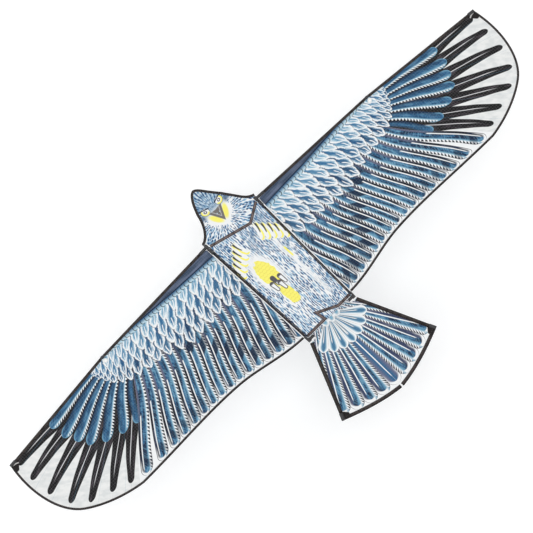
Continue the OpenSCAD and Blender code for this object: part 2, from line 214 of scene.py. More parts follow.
# Ferrules: short drawn aluminium tubes with a collar, anodised black and cranked a little, that join the
# two rods of a leading edge and show in the sleeve's window.
ferrule, tree, shader = new_finish("black_anodised_tube")
shader.inputs["Metallic"].default_value = 0.6
x, y, z = place_of(tree)
drawn = grain(tree, x * 0.05, y * 3.0, z * 3.0, 1.0)
dress(tree, shader, lay(drawn, dye(46, 46, 49), dye(70, 70, 74)), drawn * 0.3 + 0.27, drawn, 0.03)
coat_nodes(ferrule, *pair("spar_ferrule"))


# Eyelets: white moulded rings, snapped through the cloth behind the wing's joint, where a line is tied.
# Handling has greyed them a little in patches.
eyelet, tree, shader = new_finish("white_eyelet")
x, y, z = place_of(tree)
scuff = grain(tree, x, y, z, 1.4, 4.0)
worn_white = lay(scuff.rise(0.5, 0.8), dye(240, 240, 238), dye(206, 206, 204))
dress(tree, shader, worn_white, scuff * 0.3 + 0.25, scuff, 0.05)
coat_nodes(eyelet, *pair("eyelet"))


# Wings: polyester ripstop, printed on one face with a hawk's plumage, one panel on each side.
# Each is sewn to the leading edge's sleeve, bound along its free edge and free beside the body.
# Outlines are [x, aft] in millimetres: across from the centre line and back from the neck line.
SIDES = ((-1, "left"), (1, "right"))
# Where the neck line lies along the kite, and how high the rods' axes lie
NECK_Y = 154.0
ROD_Z = 3.2
CLOTH_THICK, CLOTH_GRID = 0.4, 4.0


def spot(x, aft, z):
    return Vector((x, NECK_Y - aft, z)) / 1000


def bezier(start, pulls, end, steps):
    a, d = np.array(start, float), np.array(end, float)
    b, c = a + pulls[0], d + pulls[1]
    t = np.linspace(0, 1, steps + 1)[:, None]
    return (1 - t) ** 3 * a + 3 * t * (1 - t) ** 2 * b + 3 * t * t * (1 - t) * c + t ** 3 * d


SPAR_ROOT, SPAR_JOINT, SPAR_TIP = (57.9, -1.8), (311.8, 7.2), (545.7, 30.2)
TIP_EDGE = bezier(SPAR_TIP, ([10, 45], [37, -27]), (512, 167), 20)
WING_EDGE = np.concatenate([
    TIP_EDGE,
    bezier((512, 167), ([-22, 16], [42, -6]), (412, 205), 16)[1:],
    bezier((412, 205), ([-83, 0], [70, -6]), (180, 203), 28)[1:],
    bezier((180, 203), ([-40, 4], [45, -1]), (55.9, 222), 20)[1:],
])


def inner_side(path):
    """At each point of a path, the step that leads to a parallel path one millimetre further in."""
    steps = np.diff(path, axis=0)
    steps /= np.linalg.norm(steps, axis=1)[:, None]
    sides = np.column_stack([-steps[:, 1], steps[:, 0]])
    before, after = np.vstack([sides[:1], sides]), np.vstack([sides, sides[-1:]])
    return (before + after) / (1 + (before * after).sum(axis=1))[:, None]


def inset(path, width):
    """A path moved to the inside of an edge that runs from tip to root."""
    return path + width * inner_side(path)


def gap_to(points, path):
    """Distance of each point from a path."""
    best = np.full(len(points), 1e9)
    for a, b in zip(path[:-1], path[1:]):
        run = b - a
        share = np.clip(((points - a) @ run) / (run @ run), 0, 1)
        best = np.minimum(best, np.linalg.norm(points - a - share[:, None] * run, axis=1))
    return best


def as_piece(shape, name):
    """A finished shape as a smooth piece at the origin."""
    for face in shape.faces:
        face.smooth = True
    mesh = bpy.data.meshes.new(name)
    shape.to_mesh(mesh)
    shape.free()
    piece = bpy.data.objects.new(name, mesh)
    bpy.context.collection.objects.link(piece)
    return piece


def flat_points(piece):
    """The [x, aft] of a piece's points."""
    places = np.empty(len(piece.data.vertices) * 3)
    piece.data.vertices.foreach_get("co", places)
    places = places.reshape(-1, 3) * 1000
    return np.column_stack([places[:, 0], NECK_Y - places[:, 1]])


def cloth(name, outline, height, side=1, hole=None):
    """A flat panel of that outline, cut up into a fine grid, and the [x, aft] of its points."""
    weld, near_hole = 1e-7, 0.006
    sheet = bmesh.new()
    corners = [sheet.verts.new(spot(x * side, aft, height)) for x, aft in outline]
    bmesh.ops.contextual_create(sheet, geom=corners)
    low, high = outline.min(axis=0), outline.max(axis=0)
    for axis, normal in ((0, (1, 0, 0)), (1, (0, 1, 0))):
        for k in range(math.ceil(low[axis] / CLOTH_GRID), math.floor(high[axis] / CLOTH_GRID) + 1):
            cut = (k * CLOTH_GRID * side, 0) if axis == 0 else (0, k * CLOTH_GRID)
            bmesh.ops.bisect_plane(sheet, geom=sheet.verts[:] + sheet.edges[:] + sheet.faces[:],
                                   plane_co=spot(*cut, 0), plane_no=normal, dist=weld)
    if hole:
        centre, radius = spot(hole[0] * side, hole[1], height), hole[2] / 1000
        for angle in np.radians(np.arange(0, 360, 30)):
            ray = Vector((math.cos(angle), math.sin(angle), 0))
            near = [face for face in sheet.faces
                    if (face.calc_center_median() - centre).length < near_hole]
            around = {part for face in near for part in (*face.verts, *face.edges)}
            bmesh.ops.bisect_plane(sheet, geom=[*near, *around], plane_co=centre + radius * ray,
                                   plane_no=ray, dist=weld)
        punched = [face for face in sheet.faces if (face.calc_center_median() - centre).length < radius]
        bmesh.ops.delete(sheet, geom=punched, context="FACES")
    for face in sheet.faces:
        if face.normal.z < 0:
            face.normal_flip()
    piece = as_piece(sheet, name)
    return piece, flat_points(piece)


def one_side(points):
    """Points of both sides of the kite, all laid on the right-hand side."""
    return np.column_stack([np.abs(points[:, 0]), points[:, 1]])


def crease(piece, points, rim, amount, seed, run):
    """Slack in the cloth: broad sags and narrow folds, which die out at the sewn edges."""
    grip, sag_size, fold_width, fold_length = 32, (95, 70), 24, 150
    slack = np.clip(gap_to(points, rim) / grip, 0, 1) ** 1.4
    for vertex, (x, aft), free in zip(piece.data.vertices, points, slack):
        across, along = x * run[0] + aft * run[1], x * run[1] - aft * run[0]
        sag = noise.noise(Vector((x / sag_size[0], aft / sag_size[1], seed)))
        folds = noise.noise(Vector((across / fold_width, along / fold_length, seed + 9)))
        vertex.co.z += free * amount * (sag * 1.1 + folds) / 1000


def field(piece, name, values):
    piece.data.attributes.new(name, "FLOAT_VECTOR", "POINT").data.foreach_set(
        "vector", np.ascontiguousarray(values, dtype=np.float32).ravel())


def along_feathers(points, bases, tips, bow=0.0):
    """Each point's feather, counted from -1, its distance from that feather's tip and the spacing there."""
    bases, tips = np.array(bases, float), np.array(tips, float)
    numbers = np.arange(len(bases), dtype=float) - 1
    steps_each = 24
    fine = np.linspace(numbers[0], numbers[-1], steps_each * (len(numbers) - 1) + 1)

    def between(p, table):
        return np.column_stack([np.interp(p, numbers, table[:, k]) for k in (0, 1)])

    def cross(a, b):
        return a[..., 0] * b[..., 1] - a[..., 1] * b[..., 0]

    root, end = between(fine, bases), between(fine, tips)
    turn = cross((end - root)[None], points[:, None] - root[None])
    at = np.clip((turn < 0).sum(axis=1), 1, len(fine) - 1)
    rows = np.arange(len(points))
    before, after = turn[rows, at - 1], turn[rows, at]
    share = np.clip(before / np.where(before == after, 1, before - after), 0, 1)
    number = fine[at - 1] + share * (fine[1] - fine[0])
    root, end = between(number, bases), between(number, tips)
    axis = end - root
    length = np.linalg.norm(axis, axis=1)
    along = ((points - root) * axis).sum(axis=1) / length ** 2
    beside = 0.4
    near, far = number - beside, number + beside
    mid = np.clip(along, 0.05, 1.2)[:, None]
    step = (between(far, bases) * (1 - mid) + between(far, tips) * mid
            - between(near, bases) * (1 - mid) - between(near, tips) * mid)
    spacing = np.abs(cross(axis / length[:, None], step)) / np.maximum(
        np.clip(far, numbers[0], numbers[-1]) - np.clip(near, numbers[0], numbers[-1]), 0.1)
    part = np.clip(along, 0, 1)
    curve = bow * (4 * part * (1 - part) + 0.6 * np.sin(2 * np.pi * part))
    return np.column_stack([number + curve, (1 - along) * length, spacing])


# Places of the printed flight feathers' roots and tips, from beside the body to the leading edge
FLIGHT_ROOTS = [(12, 66), (29, 65), (46, 64), (64, 63), (82, 62), (99, 61), (117, 60), (135, 59), (152, 58),
                (170, 57), (188, 56), (205, 55), (222, 54), (239, 53), (255, 52), (270, 52), (283, 52),
                (293, 50), (301, 47), (309, 43), (316, 37), (322, 30), (327, 21), (331, 12), (334, 3)]
FLIGHT_TIPS = [(36, 219), (57, 219), (78, 217), (100, 213), (121, 209), (140, 205), (158, 202), (178, 199),
               (197, 198), (217, 197), (237, 197), (258, 198), (281, 199), (306, 200), (331, 200), (360, 200),
               (398, 200), (427, 190), (458, 179), (496, 166), (521, 143), (535, 107), (538, 69), (535, 37),
               (530, 8)]
# From this feather outward they are black
FIRST_BLACK = 16
# Roots and tips of the coverts that lie over the flight feathers of the outer wing
HAND_ROOTS = [(288, 74), (301, 66), (313, 57), (324, 50), (331, 42), (335, 34), (339, 25), (341, 15),
              (343, 6)]
HAND_TIPS = [(318, 132), (347, 127), (376, 123), (407, 113), (431, 97), (441, 78), (452, 58), (455, 31),
             (452, 4)]
# Rows of scale feathers between the leading edge and the flight feathers
SCALE_ROWS = 4


def ink_field(tree, name):
    """A field on the cloth's points as three inks."""
    stored = tree.nodes.new("ShaderNodeAttribute")
    stored.attribute_name = name
    split = tree.nodes.new("ShaderNodeSeparateXYZ")
    tree.links.new(stored.outputs["Vector"], split.inputs[0])
    return [Ink(tree, out) for out in split.outputs]


def feather_field(tree, name):
    """A spot in a row of feathers: its number, its feather, how far aside and from the tip, the spacing."""
    number, to_tip, spacing = ink_field(tree, name)
    which = (number + 0.5).floor()
    return number, which, (number - which) * spacing, to_tip, spacing


def inside_end(aside, half, to_tip, length):
    """Distance inside a feather whose end is rounded over that length."""
    part = (to_tip / length).most(0.0).least(1.0)
    return half * (part * (2.0 - part)).root() - aside.size()


WHITE, PALE, SKY = dye(241, 243, 244), dye(190, 217, 229), dye(120, 171, 197)
STEEL, SLATE, NAVY = dye(48, 98, 138), dye(104, 108, 134), dye(16, 34, 60)
INKY, BLACK, SMOKE = dye(20, 25, 36), dye(20, 20, 22), dye(84, 82, 88)


def chance(tree, x, y):
    """A number from 0 to 1, the same all over a cell."""
    join = tree.nodes.new("ShaderNodeCombineXYZ")
    pour(tree, x, join.inputs[0])
    pour(tree, y, join.inputs[1])
    toss = tree.nodes.new("ShaderNodeTexWhiteNoise")
    toss.noise_dimensions = "2D"
    tree.links.new(join.outputs[0], toss.inputs["Vector"])
    return Ink(tree, toss.outputs["Value"])


def feather(tree, aside, half, to_tip, which, slant, pitch, shaft_at, outer_dye):
    """A blue feather: white barbs that taper from the vane into the dark, and a dark vane past its shaft."""
    across = aside / half
    mottle = grain(tree, aside * 0.25, to_tip * 0.05 + aside * 0.05, which * 3.7, 0.8, 2.0)
    lean = to_tip - aside * slant
    fine = grain(tree, lean * 0.55, aside * 0.08, which * 1.9, 1.0, 1.0)
    colour = lay(across.rise(-0.6, -0.1), SKY, STEEL)
    colour = lay(mottle.rise(0.47, 0.58) * across.rise(-0.5, 0.0) * 0.9, colour, NAVY)
    colour = lay(mottle.fall(0.36, 0.46) * 0.6, colour, SKY)
    colour = lay(fine.rise(0.5, 0.66) * 0.4, colour, SKY)
    colour = lay(fine.fall(0.34, 0.46) * 0.4, colour, NAVY)
    outer = lay((to_tip.rise(78, 112) * 0.8).most(mottle.fall(0.34, 0.44) * 0.5), outer_dye, SLATE)
    colour = lay((across - shaft_at).rise(0.04, 0.16), colour, outer)
    barb = ((across + 1.12) * 0.72 - lean.cell(pitch)).rise(-0.07, 0.07)
    started = to_tip.rise(3, 7)
    colour = lay(across.fall(-0.75, -0.5) * started, colour, INKY)
    return lay(across.fall(-0.48, -0.2) * barb * started, colour, lay(across.fall(-0.66, -0.36), SKY, WHITE))


def shaft_line(aside, half, to_tip, shaft_at, first, last):
    """The white shaft of a feather, thinner toward its tip, between two distances from it."""
    gap = (aside - half * shaft_at).size() + to_tip.fall(8, 60) * 0.3
    return gap.fall(0.7, 1.25) * to_tip.rise(first, first + 7.0) * to_tip.fall(last, last + 2.0)


def pale_end(aside, half, to_tip, rim):
    """How far a feather's dye has faded out in front of its tip, beyond the barbs."""
    dyed = inside_end(aside, half, to_tip - rim, 10.0)
    return dyed.fall(-1.0, 4.0) * to_tip.fall(16, 30) * (aside / half).rise(-0.6, -0.3)


def outline_of(edge, to_tip, reach):
    """A thin dark line round a feather's end, where edge is the distance inside it."""
    return edge.size().fall(0.2, 0.6) * to_tip.rise(-0.6, 0.2) * to_tip.fall(reach * 0.6, reach)


def ripstop(x, y, strong_pitch=4.2, thread_pitch=0.55):
    """Heights of the cloth's stronger threads, which stand some millimetres apart, and of its fine weave."""
    lines = x.cell(strong_pitch).rise(0.45, 0.5).most(y.cell(strong_pitch).rise(0.45, 0.5))
    return lines, x.cell(thread_pitch) * y.cell(thread_pitch)


def sail_finish(name, print_on, backing):
    """Printed ripstop; the back shows the print through the cloth, paler."""
    finish, tree, shader = new_finish(name)
    x, y, z = place_of(tree)
    colour = print_on(tree, x, NECK_Y - y)
    lines, weave = ripstop(x, y)
    tone = grain(tree, x, y, z, 0.035, 4.0)
    colour = lay(lines * 0.10, colour, dye(250, 250, 250))
    colour = lay(tone.rise(0.55, 0.8) * 0.10, colour, dye(120, 126, 134))
    if backing:
        colour = lay(tone * 0.1 + 0.5, colour, dye(222, 226, 229))
    shader.inputs["Specular IOR Level"].default_value = 0.14
    shader.inputs["Sheen Weight"].default_value = 0.01
    folds = grain(tree, x + y * 0.35, y * 0.45 - x * 0.1, z, 0.07, 4.0)
    dress(tree, shader, colour, tone * 0.2 + 0.45, folds * 0.9 + lines * 0.06 + weave * 0.15, 1.3)
    return finish


def sail_faces(panel, print_on):
    return [sail_finish(f"{panel}_print_{face}", print_on, face == "back") for face in ("front", "back")]


def wing_print(tree, x, aft):
    number, which, aside, to_tip, spacing = feather_field(tree, "flight")
    # blue secondaries, with dark bars that step across them
    half = (spacing * 0.5).least(10.2)
    shaft_at = 0.52
    colour = feather(tree, aside, half, to_tip, which, 1.3, 5.6, shaft_at, INKY)
    middle = (which - 4.0) * 16.5 + 24.0
    bar = (to_tip - middle + aside * 0.9).size().fall(8, 12) * which.rise(2.4, 3.6) * which.fall(9.4, 10.6)
    next_bar = (to_tip - middle - 34.0 + aside * 0.9).size().fall(6, 10)
    next_bar = next_bar * which.rise(0.4, 1.6) * which.fall(4.4, 6.6)
    low_bar = (to_tip - 21.0 - aside).size().fall(4, 9) * which.rise(9.4, 10.6) * 0.7
    first_bars = (to_tip - 24.0 - aside).size().fall(5, 10) * which.fall(2.4, 3.6)
    dark = bar.most(first_bars).most(low_bar).most(next_bar * 0.9)
    colour = lay(dark * (aside.rise(-6, -3) * 0.35 + 0.6), colour, NAVY)
    colour = lay(shaft_line(aside, half, to_tip, shaft_at, 7.0, 98.0), colour, WHITE)
    edge = inside_end(aside, half, to_tip, 10.5)
    colour = lay(pale_end(aside, half, to_tip, 3.5), colour, WHITE)
    colour = lay(edge.rise(-0.3, 0.3), WHITE, colour)
    colour = lay(outline_of(edge, to_tip, 34), colour, SMOKE)
    # black primaries stand apart on bare cloth
    finger = to_tip.rise(0, 60) * 3.4 + to_tip.rise(50, 110) * 3.5 + to_tip.rise(100, 150) * 8.0 + 5.3
    finger = finger + which.rise(22.4, 22.6) * to_tip.rise(10, 60) * 5.0
    edge = inside_end(aside, finger.least(spacing * 0.53), to_tip, 8.5)
    worn = grain(tree, aside * 0.5, to_tip * 0.06, which * 2.3, 0.6, 3.0)
    black = lay(worn.rise(0.48, 0.7) * edge.rise(0.8, 2.6) * 0.7, BLACK, dye(84, 76, 84))
    quill = (aside - 1.2).size().fall(0.35, 0.75) * to_tip.rise(20, 50)
    black = lay(quill, black, dye(226, 226, 229))
    # painted shade: grey patches on the bare cloth between the black feathers stand in for the shade in its
    # creases
    painted_crease_shade = grain(tree, x * 0.42 + aft * 0.32, aft * 0.9 - x * 0.66, 6.0, 0.13, 4.0)
    bare = lay(painted_crease_shade.rise(0.35, 0.7) * 0.6, dye(236, 237, 236), dye(206, 211, 212))
    black = lay(edge.rise(-0.3, 0.3), bare, black)
    colour = lay(which.rise(FIRST_BLACK - 0.6, FIRST_BLACK - 0.4), colour, black)
    # blue coverts of the outer wing lie over them
    number, which, aside, to_tip, spacing = feather_field(tree, "hand")
    half = (spacing * 0.46).least(8.6)
    edge = inside_end(aside, half, to_tip, 13.0)
    hand = feather(tree, aside, half, to_tip, which, 1.1, 5.2, 0.78, INKY)
    hand = lay((aside / half).rise(-0.4, -0.1) * 0.5, hand, STEEL)
    hand = lay((aside / half).rise(0.2, 0.9) * to_tip.rise(8, 30) * 0.8, hand, NAVY)
    hand = lay(edge.fall(0.4, 3.0) * to_tip.fall(10, 22) * 0.75, hand, SKY)
    cover = edge.rise(-0.3, 0.3) * number.rise(-0.2, 0.1) * number.fall(6.5, 6.7) * to_tip.fall(150, 160)
    colour = lay(cover, colour, hand)
    # rows of small scale feathers under the leading edge, pale at the front and darker behind
    span, row, deep = ink_field(tree, "scales")
    ragged = grain(tree, x, aft, 0.0, 0.55, 2.0) - 0.5
    sway = grain(tree, x, aft, 4.0, 0.06, 1.0) - 0.5
    soft = grain(tree, x * 0.3, aft * 0.1, 2.0, 1.0, 1.0)
    ground = lay(soft.rise(0.4, 0.6), WHITE, SKY)
    colour = lay(row.fall(2.9, 3.5), colour, lay(row.rise(1.6, 2.9), ground, NAVY))
    tones = ((dye(168, 204, 222), dye(84, 142, 178)), (dye(132, 180, 206), dye(48, 104, 148)),
             (dye(108, 160, 191), dye(34, 82, 126)), (dye(92, 146, 182), dye(22, 56, 94)))
    for k in reversed(range(SCALE_ROWS)):
        place = span + sway * 0.4 + 0.5 * (k % 2)
        toss = chance(tree, place.floor(), 7.3 * k)
        spread = place.part() - 0.5 + (toss - 0.5) * 0.14
        wide = spread.size() * (2.3 - toss * 0.2)
        below = toss * 0.3 + (k + 0.85) - row
        limit = (below / 0.68).most(0.0).least(1.0) ** 0.66
        edge = (limit - wide + ragged * 0.4).least(below * 3.0 + 0.1)
        light, deep_blue = tones[k]
        barbs = grain(tree, spread * 26.0 + below * 3.0, below * 1.2, toss * 9.0, 1.0, 1.0) - 0.5
        inner = edge.least(below * 1.5) + barbs * 1.1
        scale = lay(inner.rise(0.24, 0.62), WHITE, light)
        scale = lay(inner.rise(0.42, 0.86) * (toss * 0.4 + 0.6), scale, deep_blue)
        scale = lay(wide.fall(0.05, 0.12) * below.rise(0.3, 0.4) * below.fall(0.9, 1.1), scale, WHITE)
        colour = lay(edge.rise(-0.3, 0.0) * edge.fall(0.0, 0.03) * 0.14 * k, colour, NAVY)
        colour = lay(edge.rise(0.0, 0.12), colour, scale)
        colour = lay((edge - 0.02).size().fall(0.02, 0.09) * spread.rise(-0.1, 0.1) * 0.5, colour, SMOKE)
    # a smooth slate band along the leading edge, with small dark crescents behind it
    over = row * deep
    pitch = 8.7
    bump = ((x.size() / pitch + sway * 0.3).part() - 0.5) * pitch
    hang = over + 4.2
    strip = lay(over.rise(-9.0, -1.0), STEEL, PALE)
    crescent = ((bump ** 2.0 + hang ** 2.0).root() - 3.7).size().fall(0.35, 0.85)
    crescent = crescent * (bump + hang * 0.6).rise(-0.5, 1.0)
    colour = lay(over.fall(-1.5, 1.0), colour, lay(crescent, strip, INKY))
    streak = grain(tree, x * 0.2, aft * 1.2, 0.0, 0.12)
    band = lay(streak.rise(0.35, 0.7), dye(54, 70, 92), dye(98, 110, 134))
    colour = lay(over.fall(-9.2, -7.6), colour, lay((over + 9.4).size().fall(0.6, 1.8), band, NAVY))
    return colour


def covert_rows(points):
    """Rows of scale feathers: place along the span, row number and the rows' depth."""
    x, aft = points[:, 0], points[:, 1]
    top = np.interp(x, [50, 150, 220, 270, 305, 345], [26, 22, 17, 13, 11, 11])
    end = np.interp(x, [50, 190, 225, 255, 300, 318, 330, 342, 348], [96, 96, 88, 80, 70, 63, 50, 26, 12])
    deep = np.maximum(end - top, 1.0) / SCALE_ROWS
    behind = np.clip(aft - top, 0, 90)
    swept_back = x - 0.75 * behind + 0.0032 * behind ** 2
    marks = np.arange(0, 400, 2.0)
    count = np.cumsum(2.0 / np.interp(marks, [0, 230, 290, 400], [21.5, 21.5, 14.5, 13.0]))
    return np.column_stack([np.interp(swept_back, marks, count), (aft - top) / deep, deep])


NECK_HALF, WAIST_HALF, BODY_LENGTH = 58.0, 52.0, 225.0


def side_x(aft):
    """How far out the body's side rod lies."""
    return NECK_HALF - (NECK_HALF - WAIST_HALF) * aft / BODY_LENGTH


ROOT_GAP, BEHIND_SPAR, IN_BINDING = 3.9, 0.8, 0.7
FRONT_EDGE = np.array([(64.0, 0.4), SPAR_JOINT, SPAR_TIP]) + (0, BEHIND_SPAR)
WING_OUTLINE = np.concatenate([FRONT_EDGE, inset(WING_EDGE, IN_BINDING)[1:], [(side_x(2.0) + ROOT_GAP, 2.0)]])
# Place and radius of the hole that the eyelet is snapped through
EYELET_HOLE = (311.27, 14.98, 1.9)


def thicken(piece, thick):
    wall = piece.modifiers.new("thickness", "SOLIDIFY")
    wall.thickness = thick / 1000
    wall.offset = 0
    return wall


def solid_cloth(piece, faces):
    """Gives a panel its thickness and the finishes of its two faces."""
    for finish in faces:
        piece.data.materials.append(finish)
    thicken(piece, CLOTH_THICK).material_offset = 1


def assemble(piece, body, slot, *nodes):
    """Hides the plain solids that a piece stands for and hangs it on the body that it rides on; slot is not
    used.
    """
    if nodes:
        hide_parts(*nodes)
    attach(piece, body)
    return piece


wing_faces = sail_faces("wing", wing_print)
for side, name in SIDES:
    piece, points = cloth(f"{name}_wing_cloth", WING_OUTLINE, ROD_Z, side, EYELET_HOLE)
    folded = one_side(points)
    field(piece, "flight", along_feathers(folded, FLIGHT_ROOTS, FLIGHT_TIPS, 0.24))
    field(piece, "hand", along_feathers(folded, HAND_ROOTS, HAND_TIPS, -0.1))
    field(piece, "scales", covert_rows(folded))
    crease(piece, points * (side, 1), WING_OUTLINE, 1.5, 3.0 + side, (0.8, 0.6))
    solid_cloth(piece, wing_faces)
    assemble(piece, f"{name}_wing", "wing_cloth", f"{name}_wing_sail")


# Body: a white panel printed with down, cut from one piece with darts, laid over the frame and
# sewn to both side sleeves. Two tucked-up feet are printed on it in yellow.
# Underside and middle of the cloth that lies over the frame
PANEL_Z = 6.4
CLOTH_Z = PANEL_Z + CLOTH_THICK / 2
NECK_LINE = [(-54, 2.3), (21, 22), (54, 2.3)]
BODY_OUTLINE = np.array([(-57.2, 2.3), *NECK_LINE, (57.2, 2.3), (51.3, 226.3), (-51.3, 226.3)])
YELLOW, OCHRE = dye(250, 242, 116), dye(228, 212, 92)


def strokes(tree, x, aft, wide, long, girth, seed):
    """Fine painted strokes that taper at both ends, and a chance number for each."""
    column = (x / wide).floor()
    along = aft / long + chance(tree, column, seed) * 7.0
    toss = chance(tree, column + seed * 31.0, along.floor())
    aside = ((x / wide).part() - 0.5 - (toss - 0.5) * 0.5).size()
    mid = along.part() * 2.0 - 1.0
    return ((1.0 - mid ** 2.0) * girth - aside).rise(-0.04, 0.08), toss


def down(tree, x, aft, cloth_colour, thin, seed):
    """Strokes of down in three blues; thin from 0 to 1 leaves more of the cloth bare."""
    x = x + (grain(tree, x, aft, seed, 0.025, 1.0) - 0.5) * 9.0
    colour = cloth_colour
    layers = ((4.6, 13.0, 0.36, dye(190, 213, 228)), (3.4, 10.0, 0.27, dye(124, 168, 200)),
              (2.9, 9.0, 0.25, dye(76, 124, 168)), (3.3, 8.0, 0.26, dye(28, 66, 112)))
    for wide, long, girth, blue in layers:
        seed = seed + 1.0
        mark, toss = strokes(tree, x, aft, wide, long, girth, seed)
        colour = lay(mark * (toss - thin * 0.75).rise(0.2, 0.3), colour, blue)
    return colour


def spot_gap(x, aft, at):
    """Distance from a point."""
    return ((x - at[0]) ** 2.0 + (aft - at[1]) ** 2.0).root()


def stroke_gap(x, aft, start, end):
    """Distance from a straight stroke."""
    run = np.array(end, float) - np.array(start, float)
    length = float(run @ run)
    share = ((x - start[0]) * (run[0] / length) + (aft - start[1]) * (run[1] / length)).most(0.0).least(1.0)
    return ((x - start[0] - share * run[0]) ** 2.0 + (aft - start[1] - share * run[1]) ** 2.0).root()


def body_print(tree, x, aft):
    sides = x.size().rise(24, 44)
    mid = (x - 8.0).size().fall(8, 24)
    thin = 0.62 - sides.most(mid) * 0.34 - aft.fall(45, 85) * 0.3 - aft.rise(165, 205) * 0.2
    colour = down(tree, x, aft, WHITE, thin, 0.0)
    # a tucked-up foot on the left; the cloth's tuck hides the other but for its edge
    mine = x * -1.0
    bumpy = grain(tree, x, aft, 5.0, 0.16, 2.0) - 0.5
    leg = ((mine - 19.5 + (aft - 104.0) * 0.06) / 14.5) ** 2.0 + ((aft - 103.0) / 29.0) ** 2.0 + bumpy * 0.9
    colour = lay(leg.fall(1.2, 3.0), colour, WHITE)
    row, across = 5.5, 7.0
    rows = aft.cell(row) + (mine / across + ((aft / row).floor() * 0.5).part()).cell(1.0)
    skin = lay(rows.rise(0.6, 0.8) * 0.6, YELLOW, OCHRE)
    pad = stroke_gap(mine, aft, (19.0, 142.0), (17.0, 163.0)) + bumpy * 5.0
    colour = lay(leg.fall(0.92, 1.04).most(pad.fall(8.6, 9.2)), colour, skin)
    claws = ((28.0, 121.0, 0.0), (20.5, 114.0, 1.0), (16.0, 127.0, 0.0), (9.0, 119.0, 0.0))
    for middle, top, filled in claws:
        claw = stroke_gap(mine, aft, (middle, top), (middle - 1.5, top + 13.0))
        girth = 4.3 - (aft - top) * 0.08
        colour = lay((claw - girth).fall(-0.3, 0.3), colour, SMOKE)
        shine = (claw - girth + 1.5).fall(-0.3, 0.3) * (aft - top - filled * 9.0).rise(-1.0, 1.5)
        colour = lay(shine, colour, WHITE)
    tuck_x = (aft - 100.0) * 0.03 + 29.0
    tuck = (x - tuck_x).size()
    colour = lay(tuck.fall(1.5, 5.0) * aft.rise(60, 80) * aft.fall(190, 205) * 0.8, colour, WHITE)
    sliver = (x - tuck_x - 2.5).size() + (aft - 100.0).size().rise(8, 14) * 2.0
    colour = lay(sliver.fall(1.3, 1.8), colour, YELLOW)
    # a fringe of narrow white plumes at each shoulder, edged in yellow on their outer side
    beside = x.size()
    for k in range(5):
        top, end = np.array((25.0 + 7.1 * k, 26.0 + 7.7 * k)), np.array((18.5 + 8.1 * k, 53.0 + 6.7 * k))
        bowed = beside + ((aft - (top[1] + end[1]) / 2) / 14.0) ** 2.0 * 2.2 - 2.2
        started = (aft - top[1]).rise(-2.0, 5.0)
        plume = stroke_gap(bowed, aft, top, end)
        colour = lay(plume.fall(4.2, 5.6) * started, colour, WHITE)
        colour = lay(plume.fall(3.7, 4.2) * started, colour, YELLOW)
        hollow = stroke_gap(bowed, aft, top - (3.0, 0), end - (2.2, 2.0))
        colour = lay(hollow.fall(3.0, 3.5) * started, colour, WHITE)
        shade_end = top * 0.35 + end * 0.65 - (0.8, 0)
        shade = stroke_gap(bowed, aft, top + (0.2, 2.0), shade_end) + (aft - top[1]) * 0.05
        colour = lay(shade.fall(1.3, 2.1), colour, dye(52, 54, 60))
    return colour


def closed(outline):
    return np.vstack([outline, outline[:1]])


body_cloth, points = cloth("body_cloth", BODY_OUTLINE, CLOTH_Z)
crease(body_cloth, points, closed(BODY_OUTLINE), 1.6, 6.0, (0.5, 0.85))
solid_cloth(body_cloth, sail_faces("body", body_print))
assemble(body_cloth, "body_frame", "body_cloth", "body_panel")


# Head: a panel of the same cloth, printed with a hawk's face seen from the front, sewn to the body
# at the neck seam and bound all round in wide tape.
HEAD_RIGHT = np.concatenate([bezier((61.0, -10.4), ([-14, -1.5], [5, 13]), (30, -50), 18),
                             bezier((30, -50), ([-8, -14], [10, 0]), (0, -86), 16)[1:]])
HEAD_EDGE = np.concatenate([HEAD_RIGHT * (-1, 1), HEAD_RIGHT[::-1][1:]])
# the crown's slack cloth leans to the left
slump = np.clip((-26 - HEAD_EDGE[:, 1]) / 50, 0, 1)
slump = slump * slump * (3 - 2 * slump)
HEAD_EDGE[:, 0] -= slump * (HEAD_EDGE[:, 0] * 0.07 + 7.0)
HEAD_ROOT = [(60.6, -6.0), (54.2, -5.7), *NECK_LINE[::-1], (-54.2, -5.7), (-60.6, -6.0)]
HEAD_OUTLINE = np.concatenate([inset(HEAD_EDGE, IN_BINDING), HEAD_ROOT])


